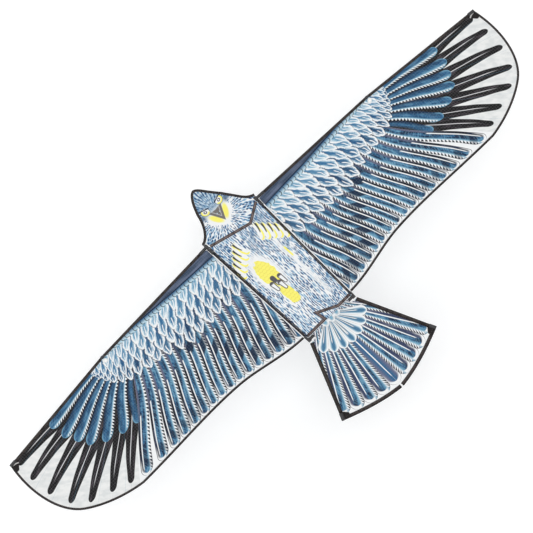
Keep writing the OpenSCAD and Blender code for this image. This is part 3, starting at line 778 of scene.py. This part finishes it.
def head_print(tree, x, aft):
    x = x + 2.8
    away = spot_gap(x, aft, (0.0, -30.0))
    around = x.size().turn(aft + 30.0) * 22.0
    crown = aft.fall(-44, -30)
    cheek = away.fall(14, 33) * aft.rise(-44, -36)
    ground = lay(crown * 0.85, WHITE, dye(96, 140, 172))
    colour = down(tree, around * 1.5, away * 1.3, ground, cheek * 1.3 + 0.25 - crown * 0.25, 3.0)
    mark, toss = strokes(tree, around * 1.5, away * 1.3, 3.7, 9.0, 0.24, 17.0)
    colour = lay(mark * toss.rise(0.4, 0.5) * crown * 0.85, colour, dye(216, 228, 235))
    temple = (aft + 36.0 + (x.size() - 18.0) * 0.35).size().fall(2, 8) * x.size().rise(19, 25)
    colour = lay(temple * 0.75, colour, dye(74, 96, 124))
    for way in (-1.0, 1.0):
        mine = x * way
        gape = ((mine - 10.5) / 8.5) ** 2.0 + ((aft + 23.0 - (mine - 10.5) * -1.0) / 8.5) ** 2.0
        colour = lay(gape.fall(0.35, 1.45), colour, YELLOW)
        eye = ((mine - 15.6) / 1.15) ** 2.0 + (aft + 44.0 - (mine - 15.6) * -0.15) ** 2.0
        ring = eye.root()
        lit = (aft + 44.0 + (mine - 15.6) * 0.8).rise(-2.5, -0.5)
        colour = lay(ring.fall(6.9, 7.6) * 0.7, colour, dye(54, 78, 104))
        colour = lay(ring.fall(5.9, 6.5), colour, lay(lit, WHITE, YELLOW))
        colour = lay(ring.fall(3.6, 4.1), colour, WHITE)
        colour = lay((ring - 1.9).size().fall(0.5, 1.0), colour, SMOKE)
        colour = lay(spot_gap(mine, aft, (14.9, -45.0)).fall(0.5, 0.9), colour, WHITE)
        lid = aft + 48.6 - (mine - 15.6) * -0.35
        colour = lay(lid.size().fall(0.7, 1.3) * (mine - 15.0).size().fall(8, 9), colour, NAVY)
    wide = (aft + 11.0) * -0.52
    beak = (wide - x.size()).least((aft + 36.0) + x.size() * 0.12)
    colour = lay(beak.rise(-0.3, 0.4), colour, dye(116, 112, 110))
    ridge = (x.size() - 4.6 + (aft + 30.0) * 0.5).size().fall(0.4, 0.9) * beak.rise(0, 1)
    colour = lay(ridge * 0.7, colour, dye(206, 206, 206))
    nostril = spot_gap(x.size(), aft, (2.8, -29.0))
    return lay(nostril.fall(0.7, 1.1), colour, PALE)


head_cloth, points = cloth("head_cloth", HEAD_OUTLINE, CLOTH_Z)
crease(head_cloth, points, closed(HEAD_OUTLINE), 1.2, 14.0, (0.9, 0.3))
solid_cloth(head_cloth, sail_faces("head", head_print))
assemble(head_cloth, "body_frame", "body_cloth", "head_panel")


# Tail: a fan-shaped panel on two splayed rods, printed with a fan of long feathers under a rosette of
# short ones. Its front edge is turned round the rear spar as a hem, on which the tail swings.
TAIL_FOOT, TAIL_TURN, TAIL_ROD = np.array((49.07, 226.28)), np.array((0.3987, 0.9171)), 150.5
TAIL_START = 10.29


def tail_at(distance):
    return TAIL_FOOT + distance * TAIL_TURN


TAIL_EDGE = bezier(tail_at(TAIL_ROD), ([-29, 12], [38, -4]), (2, 394), 20)
TAIL_HALF = np.concatenate([[(41.4, 229), (41.4, 234.7)], [tail_at(TAIL_START), tail_at(TAIL_ROD)],
                            inset(TAIL_EDGE, IN_BINDING)[1:]])
TAIL_OUTLINE = np.concatenate([TAIL_HALF, (TAIL_HALF * (-1, 1))[::-1]])


def fan(centre, radius, reach, turn, count):
    """Roots and tips of feathers that spread from one point."""
    angles = np.radians(turn) * np.arange(-1, count)
    ray = np.column_stack([np.sin(angles), np.cos(angles)])
    return np.array(centre) + radius * ray, np.array(centre) + reach * ray


LONG_FAN = fan((0, 182), 40, 203, 7.4, 7)
SHORT_FAN = fan((0, 217), 3, 68, 16.4, 6)


def tail_fields(piece, points):
    """Marks where a piece's points lie in the fan of long feathers and in the rosette."""
    field(piece, "fan", along_feathers(one_side(points), *LONG_FAN))
    field(piece, "rosette", along_feathers(one_side(points), *SHORT_FAN))


def tail_print(tree, x, aft):
    number, which, aside, to_tip, spacing = feather_field(tree, "fan")
    half = (spacing * 0.5).least(12.4)
    edge = inside_end(aside, half, to_tip, 11.0)
    shaft_at = 0.36
    colour = feather(tree, aside, half, to_tip, which, 1.1, 4.9, shaft_at, dye(52, 62, 92))
    middle = lay(aside.rise(2, 10), STEEL, SLATE)
    colour = lay(which.fall(0.4, 0.6), colour, middle)
    stem = shaft_line(aside, half, to_tip, shaft_at, 14.0, 150.0) * which.rise(0.4, 0.6)
    stem = stem.most(shaft_line(aside, half, to_tip, 0.0, 14.0, 150.0) * which.fall(0.4, 0.6))
    colour = lay(stem, colour, WHITE)
    colour = lay(pale_end(aside, half, to_tip, 5.5), colour, WHITE)
    colour = lay(edge.rise(-0.3, 0.3), WHITE, colour)
    colour = lay(outline_of(edge, to_tip, 30) * 0.8, colour, SMOKE)
    # short white feathers of the rosette lie over them
    number, which, aside, to_tip, spacing = feather_field(tree, "rosette")
    half = (spacing * 0.52).least(9.6)
    edge = inside_end(aside, half, to_tip, 10.0)
    inside = edge / half
    short = lay(inside.rise(0.22, 0.7), WHITE, SKY)
    short = lay(inside.rise(0.45, 0.85) * 0.8, short, STEEL)
    short = lay((aside / half - 0.3).size().fall(0.06, 0.16) * to_tip.rise(16, 26) * 0.8, short, INKY)
    short = lay((aside / half - 0.12).size().fall(0.06, 0.14) * to_tip.rise(14, 20), short, WHITE)
    short = lay(edge.fall(0.2, 0.7) * to_tip.rise(4, 14) * 0.7, short, SMOKE)
    cover = edge.rise(-0.3, 0.3) * number.fall(3.5, 3.6)
    shadow = edge.rise(-2.4, 0.0) * edge.fall(0.0, 0.3) * to_tip.rise(-2.4, -0.4) * to_tip.fall(20, 30)
    colour = lay(shadow * 0.5, colour, NAVY)
    colour = lay(cover, colour, short)
    # a row of tufts along the hem
    tuft = (x / 13.0 + 0.5).cell(1.0) * 2.0
    tip = 236.5 - x.size() * 0.1 - tuft ** 1.7 * 5.0 - aft
    soft = lay(tip.rise(1.0, 6.0) * tuft.fall(0.2, 0.8), WHITE, SKY)
    colour = lay(tip.rise(-0.3, 0.3) * x.size().fall(19, 19.6), colour, soft)
    return colour


tail_cloth, points = cloth("tail_cloth", TAIL_OUTLINE, ROD_Z)
tail_fields(tail_cloth, points)
crease(tail_cloth, points, closed(TAIL_OUTLINE), 1.4, 22.0, (0.2, 0.95))
tail_faces = sail_faces("tail", tail_print)
solid_cloth(tail_cloth, tail_faces)
assemble(tail_cloth, "tail", "tail_cloth", "tail_panel")


# Sleeves: black polyester tape folded round the rods and sewn down beside them, so that each has a
# round channel and a flat lip. The leading edges' sleeves leave a window at the joint.
def tape_finish(name, light, dark, rib, middle, half):
    """Woven tape, lighter along its middle, where the light catches it."""
    finish, tree, shader = new_finish(name)
    along, across = ink_field(tree, "run")[:2]
    x, y, z = place_of(tree)
    ribs = along.cell(rib) * 2.0
    fine = across.cell(0.5) * 2.0
    fade = grain(tree, x, y, z, 0.14, 4.0)
    shine = ((across - middle) / half).size().fall(0.15, 0.8) * fade.rise(0.3, 0.6)
    colour = lay(shine, dark, light)
    colour = lay(ribs * 0.15, colour, light)
    shader.inputs["Specular IOR Level"].default_value = 0.2
    shader.inputs["Sheen Weight"].default_value = 0.01
    dress(tree, shader, colour, fade * 0.25 + 0.48, ribs * 0.6 + fine * 0.3 + fade * 0.6, 0.22)
    return finish


def run_lengths(path):
    """Distance along a path, at each of its points."""
    return np.concatenate([[0], np.cumsum(np.linalg.norm(np.diff(path, axis=0), axis=1))])


def swept(name, path, section, height=ROD_Z, ruck=0.0, seed=0.0, hollow=0.0):
    """A tape of one cross section, drawn along a path: section points are (inward, up) in millimetres."""
    ruck_length = 9
    lean, runs = inner_side(path), run_lengths(path)
    steps = np.diff(path, axis=0) / np.diff(runs)[:, None]

    def station(i):
        ahead = steps[min(i, len(steps) - 1)]
        here = spot(*path[i], height)
        swell = 1 + ruck * noise.noise(Vector((runs[i] / ruck_length, seed, 0.5)))
        return Matrix(((lean[i][0], ahead[0], 0, here.x), (-lean[i][1], -ahead[1], 0, here.y),
                       (0, 0, swell, here.z), (0, 0, 0, 1)))

    tape = bmesh.new()
    run = tape.verts.layers.float_vector.new("run")
    ring = []
    for inward, up in section:
        vertex = tape.verts.new(station(0) @ Vector((inward / 1000, 0, up / 1000)))
        vertex[run] = (0, inward, up)
        ring.append(vertex)
    loop = [tape.edges.new((ring[k - 1], ring[k])) for k in range(len(ring))]
    ends = [loop]
    for i in range(1, len(path)):
        grown = bmesh.ops.extrude_edge_only(tape, edges=loop)["geom"]
        fresh = [part for part in grown if isinstance(part, bmesh.types.BMVert)]
        bmesh.ops.transform(tape, matrix=station(i) @ station(i - 1).inverted(), verts=fresh)
        for vertex in fresh:
            vertex[run] = (runs[i], vertex[run][1], vertex[run][2])
        loop = [part for part in grown if isinstance(part, bmesh.types.BMEdge)
                and all(v in fresh for v in part.verts)]
    ends.append(loop)
    caps = [bmesh.ops.contextual_create(tape, geom=end)["faces"][0] for end in ends]
    bmesh.ops.recalc_face_normals(tape, faces=tape.faces)
    if hollow:
        bmesh.ops.inset_individual(tape, faces=caps, thickness=hollow / 1000, depth=-hollow / 500)
    return as_piece(tape, name)


def dense(path, step=6.0):
    """A path with points no further apart than a step."""
    path = np.asarray(path, float)
    out = [path[0]]
    for a, b in zip(path[:-1], path[1:]):
        count = max(1, math.ceil(np.linalg.norm(b - a) / step))
        out += [a + (b - a) * k / count for k in range(1, count + 1)]
    return np.array(out)


def sew(piece, finish, body, slot, *nodes):
    piece.data.materials.append(finish)
    return assemble(piece, body, slot, *nodes)


black_tape = tape_finish("black_sleeve_tape", dye(68, 61, 59), dye(24, 21, 22), 0.9, 0.6, 3.2)


def channel(radius, lip):
    """Cross section of a sleeve: a round channel with a flat lip on its inner side."""
    angles = np.radians(np.linspace(14, 346, 23))
    ring = [(radius * math.cos(a), radius * math.sin(a)) for a in angles]
    return ring + [(lip - 0.2, -0.55), (lip, 0.0), (lip - 0.2, 0.55)] if lip else ring


def heading(start, end):
    run = np.array(end) - start
    return run / np.linalg.norm(run)


def both_ways(path, side):
    """The path on the right, or its mirror image drawn the other way round."""
    return path if side > 0 else (path * (-1, 1))[::-1]


spar_in, spar_out = heading(SPAR_ROOT, SPAR_JOINT), heading(SPAR_JOINT, SPAR_TIP)
FROM_KNUCKLE, HALF_WINDOW, FROM_CAP = 17.6, 4.5, 12.0
INNER_RUN = dense([SPAR_ROOT + FROM_KNUCKLE * spar_in, SPAR_JOINT - HALF_WINDOW * spar_in])
OUTER_RUN = dense([SPAR_JOINT + HALF_WINDOW * spar_out, SPAR_TIP - FROM_CAP * spar_out])
BODY_RUN = dense([(side_x(14.0), 14.0), (side_x(220.4), 220.4)])
TAIL_RUN = dense([tail_at(TAIL_START + 0.1), tail_at(TAIL_ROD - FROM_CAP)])
for side, name in SIDES:
    for part, path, body, radius, lip in (("inner_sleeve", INNER_RUN, f"{name}_wing", 2.2, 2.7),
                                          ("outer_sleeve", OUTER_RUN, f"{name}_wing", 2.2, 2.7),
                                          ("tail_sleeve", TAIL_RUN, "tail", 2.5, 4.2)):
        piece = swept(f"{name}_{part}_tape", both_ways(path, side), channel(radius, lip),
                      ruck=0.06, seed=side + len(part), hollow=0.6)
        sew(piece, black_tape, body, "sleeve", f"{name}_{part}")
    piece = swept(f"{name}_body_sleeve_tape", both_ways(BODY_RUN, -side), channel(2.15, 0),
                  ruck=0.05, seed=side + 4, hollow=0.7)
    sew(piece, black_tape, "body_frame", "sleeve", f"{name}_body_sleeve")
HEM_RUN = dense([(-41.3, 229), (41.3, 229)], 3.0)
hem = swept("tail_hem_fold", HEM_RUN, channel(2.85, 5.2), ruck=0.06, seed=8, hollow=0.7)
tail_fields(hem, flat_points(hem))
sew(hem, tail_faces[0], "tail", "tail_cloth", "tail_hem")


# Bindings: black tape folded over the cloth's raw edges and sewn through, narrow on the wings and
# wide on the head and the end of the tail. The head's tape ends over the front end of each side rod,
# and flat tape covers the body's seams.
def fold(width, thick):
    """Cross section of a tape folded over an edge."""
    half = thick / 2
    upper = [(width, half * 0.4), (width - 0.2, half * 0.85), (width * 0.5, half * 1.05), (0.35, half),
             (0.0, half * 0.5)]
    return [(inward, -up) for inward, up in reversed(upper)] + upper


def flat_tape(width, thick):
    """Cross section of a flat tape, centred on its path."""
    half = width / 2
    return [(-half, 0.0), (half, 0.0), (half, thick * 0.6), (half - 0.35, thick), (0.0, thick * 1.05),
            (0.35 - half, thick), (-half, thick * 0.6)]


# Steps of the wing's edge that the tip pocket covers
POCKET_POINTS = 2
SEAM_Z = PANEL_Z + CLOTH_THICK
FOLD_THICK, TAPE_THICK = 1.4, 0.5
BINDING_RUN = dense(WING_EDGE[POCKET_POINTS:], 8.0)
HEAD_RUN, TAIL_END_RUN = dense(HEAD_EDGE), dense(TAIL_EDGE)
NECK_SEAM = dense([(-53.6, 2.4), (21, 22), (53.6, 2.4)])
TAIL_SEAM = dense([(-49.3, 223.4), (-9, 223.4), (-12, 206.0), (23, 223.4), (49.3, 223.4)])
SIDE_RUN = dense([(side_x(aft) - 1.7, aft) for aft in (2.3, BODY_LENGTH)])
black_binding = tape_finish("black_binding_tape", dye(58, 51, 50), dye(23, 20, 21), 1.1, 2.2, 2.4)
wide_binding = tape_finish("wide_binding_tape", dye(70, 62, 60), dye(23, 20, 21), 1.1, 3.6, 3.0)
brown_seam = tape_finish("brown_seam_tape", dye(124, 109, 107), dye(44, 36, 36), 1.1, 0.0, 2.5)
wing_tapes, tail_tapes = {}, {}
for side, name in SIDES:
    piece = swept(f"{name}_wing_edge_tape", both_ways(BINDING_RUN, side), fold(3.8, FOLD_THICK),
                  ruck=0.12, seed=side + 30)
    wing_tapes[name] = sew(piece, black_binding, f"{name}_wing", "binding", f"{name}_wing_binding")
    piece = swept(f"{name}_tail_edge_tape", both_ways(TAIL_END_RUN, side), fold(6.2, FOLD_THICK),
                  ruck=0.12, seed=side + 40)
    tail_tapes[name] = sew(piece, wide_binding, "tail", "binding", f"{name}_tail_binding")
head_tape = swept("head_edge_tape", HEAD_RUN, fold(4.4, FOLD_THICK), CLOTH_Z, ruck=0.12, seed=50)
sew(head_tape, black_binding, "body_frame", "binding", "head_binding")
neck_tape = swept("neck_tape", NECK_SEAM, flat_tape(5.0, TAPE_THICK), SEAM_Z, ruck=0.2, seed=60)
sew(neck_tape, brown_seam, "body_frame", "binding", "neck_seam_tape")
seam_tape = swept("tail_seam_band", TAIL_SEAM, flat_tape(5.0, TAPE_THICK), SEAM_Z, ruck=0.2, seed=61)
sew(seam_tape, brown_seam, "body_frame", "binding", "tail_seam_tape")
for side, name in SIDES:
    piece = swept(f"{name}_side_tape", both_ways(SIDE_RUN, side), flat_tape(1.6, TAPE_THICK), SEAM_Z,
                  ruck=0.2, seed=side + 70)
    sew(piece, black_binding, "body_frame", "binding", f"{name}_body_tape")


# Tip pockets: a patch of black cloth folded over each wing's corner, which the capped end of the
# leading edge pushes into. A pale ribbon is sewn across it. Patches of the same cloth hold the tail's rods.
POCKET = np.array([SPAR_TIP - 20.0 * spar_out, *TIP_EDGE[:POCKET_POINTS + 1],
                   TIP_EDGE[POCKET_POINTS] - (8, 0)])
TAIL_CORNER = np.array([tail_at(TAIL_ROD - 16.0), tail_at(TAIL_ROD), *TAIL_EDGE[1:4], TAIL_EDGE[3] - (2, 9)])
RIBBON_RUN = SPAR_TIP - np.array([14.0, 9.0, 3.5])[:, None] * spar_out + [(0, 6.2), (0, 3.4), (0, 2.2)]
pale_ribbon = tape_finish("pale_ribbon", dye(214, 212, 210), dye(168, 166, 166), 0.9, 0.0, 1.2)


def corner_patch(name, outline, side, thick):
    """A doubled corner of tape cloth."""
    patch, points = cloth(name, outline, ROD_Z, side)
    field(patch, "run", np.column_stack([points, points[:, :1]]))
    thicken(patch, thick)
    return patch


wing_corners, tail_corners = {}, {}
for side, name in SIDES:
    pocket = corner_patch(f"{name}_corner_patch", POCKET, side, 1.6)
    soft = pocket.modifiers.new("soft_edge", "BEVEL")
    soft.width = 0.0004
    soft.segments = 2
    sew(pocket, black_binding, f"{name}_wing", "binding", f"{name}_tip_pocket")
    ribbon = swept(f"{name}_corner_ribbon", both_ways(RIBBON_RUN, side), flat_tape(2.2, 0.4), ROD_Z + 1.3)
    sew(ribbon, pale_ribbon, f"{name}_wing", "binding")
    wing_corners[name] = [pocket, ribbon]
    patch = corner_patch(f"{name}_tail_patch", TAIL_CORNER, side, 1.7)
    tail_corners[name] = sew(patch, black_binding, "tail", "binding")


# Stitching: grey-black polyester thread, sewn by machine in a straight run along each tape and each
# sleeve's lip. It lies on both faces of the wings, the head and the tail.
thread, tree, shader = new_finish("grey_thread")
x, y, z = place_of(tree)
twist = (x + y).cell(0.6) * 2.0
dress(tree, shader, lay(twist, dye(70, 68, 68), dye(112, 109, 108)), twist * 0.2 + 0.5, twist, 0.05)
STITCH, STITCH_PITCH, STITCH_END = 2.3, 3.4, 2.0


def stitching(name, path, inward, lifts, body):
    """A row of stitches that far inside a path, at one height or more."""
    path = inset(path, inward)
    marks = run_lengths(path)
    row = bmesh.new()
    size = Matrix.Diagonal((STITCH / 2000, 0.00030, 0.00022, 1))
    for at in np.arange(STITCH_END, marks[-1] - STITCH_END, STITCH_PITCH):
        k = min(np.searchsorted(marks, at) - 1, len(path) - 2)
        ahead = heading(path[k], path[k + 1])
        here = path[k] + (at - marks[k]) * ahead
        turn = Matrix.Rotation(math.atan2(-ahead[1], ahead[0]), 4, "Z")
        for lift in lifts:
            bmesh.ops.create_icosphere(row, subdivisions=1, radius=1.0,
                                       matrix=Matrix.Translation(spot(*here, lift)) @ turn @ size)
    return sew(as_piece(row, name), thread, body, "binding")


LIP = (ROD_Z - 0.62, ROD_Z + 0.62)
EDGE = (ROD_Z - 0.72, ROD_Z + 0.72)
TOP = (PANEL_Z + 0.92,)
HEAD_RIM = (PANEL_Z - 0.52, PANEL_Z + 0.92)
WING_ROWS = (("inner", INNER_RUN, 2.4, LIP), ("outer", OUTER_RUN, 2.4, LIP), ("edge", BINDING_RUN, 2.8, EDGE))
TAIL_ROWS = (("tail_rod", TAIL_RUN, 3.6, LIP), ("tail_end", TAIL_END_RUN, 4.8, EDGE))
SIDE_ROWS = (("side", SIDE_RUN, 0.0, TOP),)


def side_stitching(name, side, rows, body):
    return [stitching(f"{name}_{row}_thread", both_ways(path, side), inward, lifts, body)
            for row, path, inward, lifts in rows]


wing_threads, tail_threads, body_threads = {}, [], []
for side, name in SIDES:
    wing_threads[name] = side_stitching(name, side, WING_ROWS, f"{name}_wing")
    tail_threads += side_stitching(name, side, TAIL_ROWS, "tail")
    body_threads += side_stitching(name, side, SIDE_ROWS, "body_frame")
head_thread = stitching("head_thread", HEAD_RUN, 3.3, HEAD_RIM, "body_frame")
seam_threads = [stitching(f"{seam}_thread_{edge}", path, inward, TOP, "body_frame")
                for seam, path in (("neck", NECK_SEAM), ("tail_seam", TAIL_SEAM))
                for edge, inward in (("front", -1.7), ("back", 1.7))]


# Floor: a plain white sheet below the kite, far enough down for the wings and the tail to swing,
# with soft even studio light from above. Seen from below it is clear, so that the kite's back shows.
FLOOR_Z, FLOOR_SIZE = -0.26, 6.0
sheet = bmesh.new()
bmesh.ops.create_grid(sheet, x_segments=1, y_segments=1, size=FLOOR_SIZE,
                      matrix=Matrix.Translation((0, 0, FLOOR_Z)))
floor = as_piece(sheet, "floor")
paper, tree, shader = new_finish("white_floor")
shader.inputs["Roughness"].default_value = 0.9
shader.inputs["Base Color"].default_value = (0.97, 0.97, 0.97, 1)
shader.inputs["Specular IOR Level"].default_value = 0.0
shader.inputs["Emission Color"].default_value = (1, 1, 1, 1)


def rays(tree):
    """1 for the camera's own rays, and 1 for all rays that look at a thing and don't just light it."""
    kinds = tree.nodes.new("ShaderNodeLightPath")
    camera, glossy, through = [Ink(tree, kinds.outputs[f"Is {kind} Ray"])
                               for kind in ("Camera", "Glossy", "Transmission")]
    return camera, camera.most(glossy).most(through)


from_camera, looking = rays(tree)
pour(tree, looking * 0.14, shader.inputs["Emission Strength"])
facing = tree.nodes.new("ShaderNodeNewGeometry")
clear = tree.nodes.new("ShaderNodeBsdfTransparent")
either = tree.nodes.new("ShaderNodeMixShader")
pour(tree, Ink(tree, facing.outputs["Backfacing"]) * from_camera, either.inputs[0])
tree.links.new(shader.outputs[0], either.inputs[1])
tree.links.new(clear.outputs[0], either.inputs[2])
tree.links.new(either.outputs[0], tree.nodes["Material Output"].inputs["Surface"])
floor.data.materials.append(paper)

world = bpy.data.worlds.new("studio")
bpy.context.scene.world = world
world.use_nodes = True
sky = world.node_tree
background = sky.nodes["Background"]
background.inputs["Color"].default_value = (1, 1, 1, 1)
looking = rays(sky)[1]
pour(sky, looking * 0.28 + 0.72, background.inputs["Strength"])
for name, energy, soft_angle, turned in (("overhead", 0.75, 30, (10, -10)), ("side", 0.3, 40, (-38, -24))):
    lamp = bpy.data.lights.new(name, "SUN")
    lamp.energy = energy
    lamp.angle = math.radians(soft_angle)
    light = bpy.data.objects.new(name, lamp)
    light.rotation_euler = (math.radians(turned[0]), math.radians(turned[1]), 0)
    bpy.context.collection.objects.link(light)
bpy.context.scene.view_settings.view_transform = "Standard"

# Camera: nearly straight above the kite, a little towards its tail and its left wing, with a long lens
# that takes in the whole span from corner to corner.
right = Vector((0.7009, -0.7133, 0))
up = Vector((0.7133, 0.7009, 0))
target = Vector((-0.0117, 0.0626, 0))
distance, tilt = 8.0, math.radians(14.07)
lens = bpy.data.cameras.new("camera")
sensor, view_width = 36, 0.8807
lens.sensor_width = sensor
lens.lens = sensor * distance / view_width
lens.clip_end = 100
camera = bpy.data.objects.new("camera", lens)
back = Vector((0, 0, 1)) * math.cos(tilt) - up * math.sin(tilt)
lift = back.cross(right)
turn = Matrix((right, lift, back)).transposed()
camera.matrix_world = Matrix.Translation(target + back * distance) @ turn.to_4x4()
bpy.context.collection.objects.link(camera)
bpy.context.scene.camera = camera

bpy.context.view_layer.update()
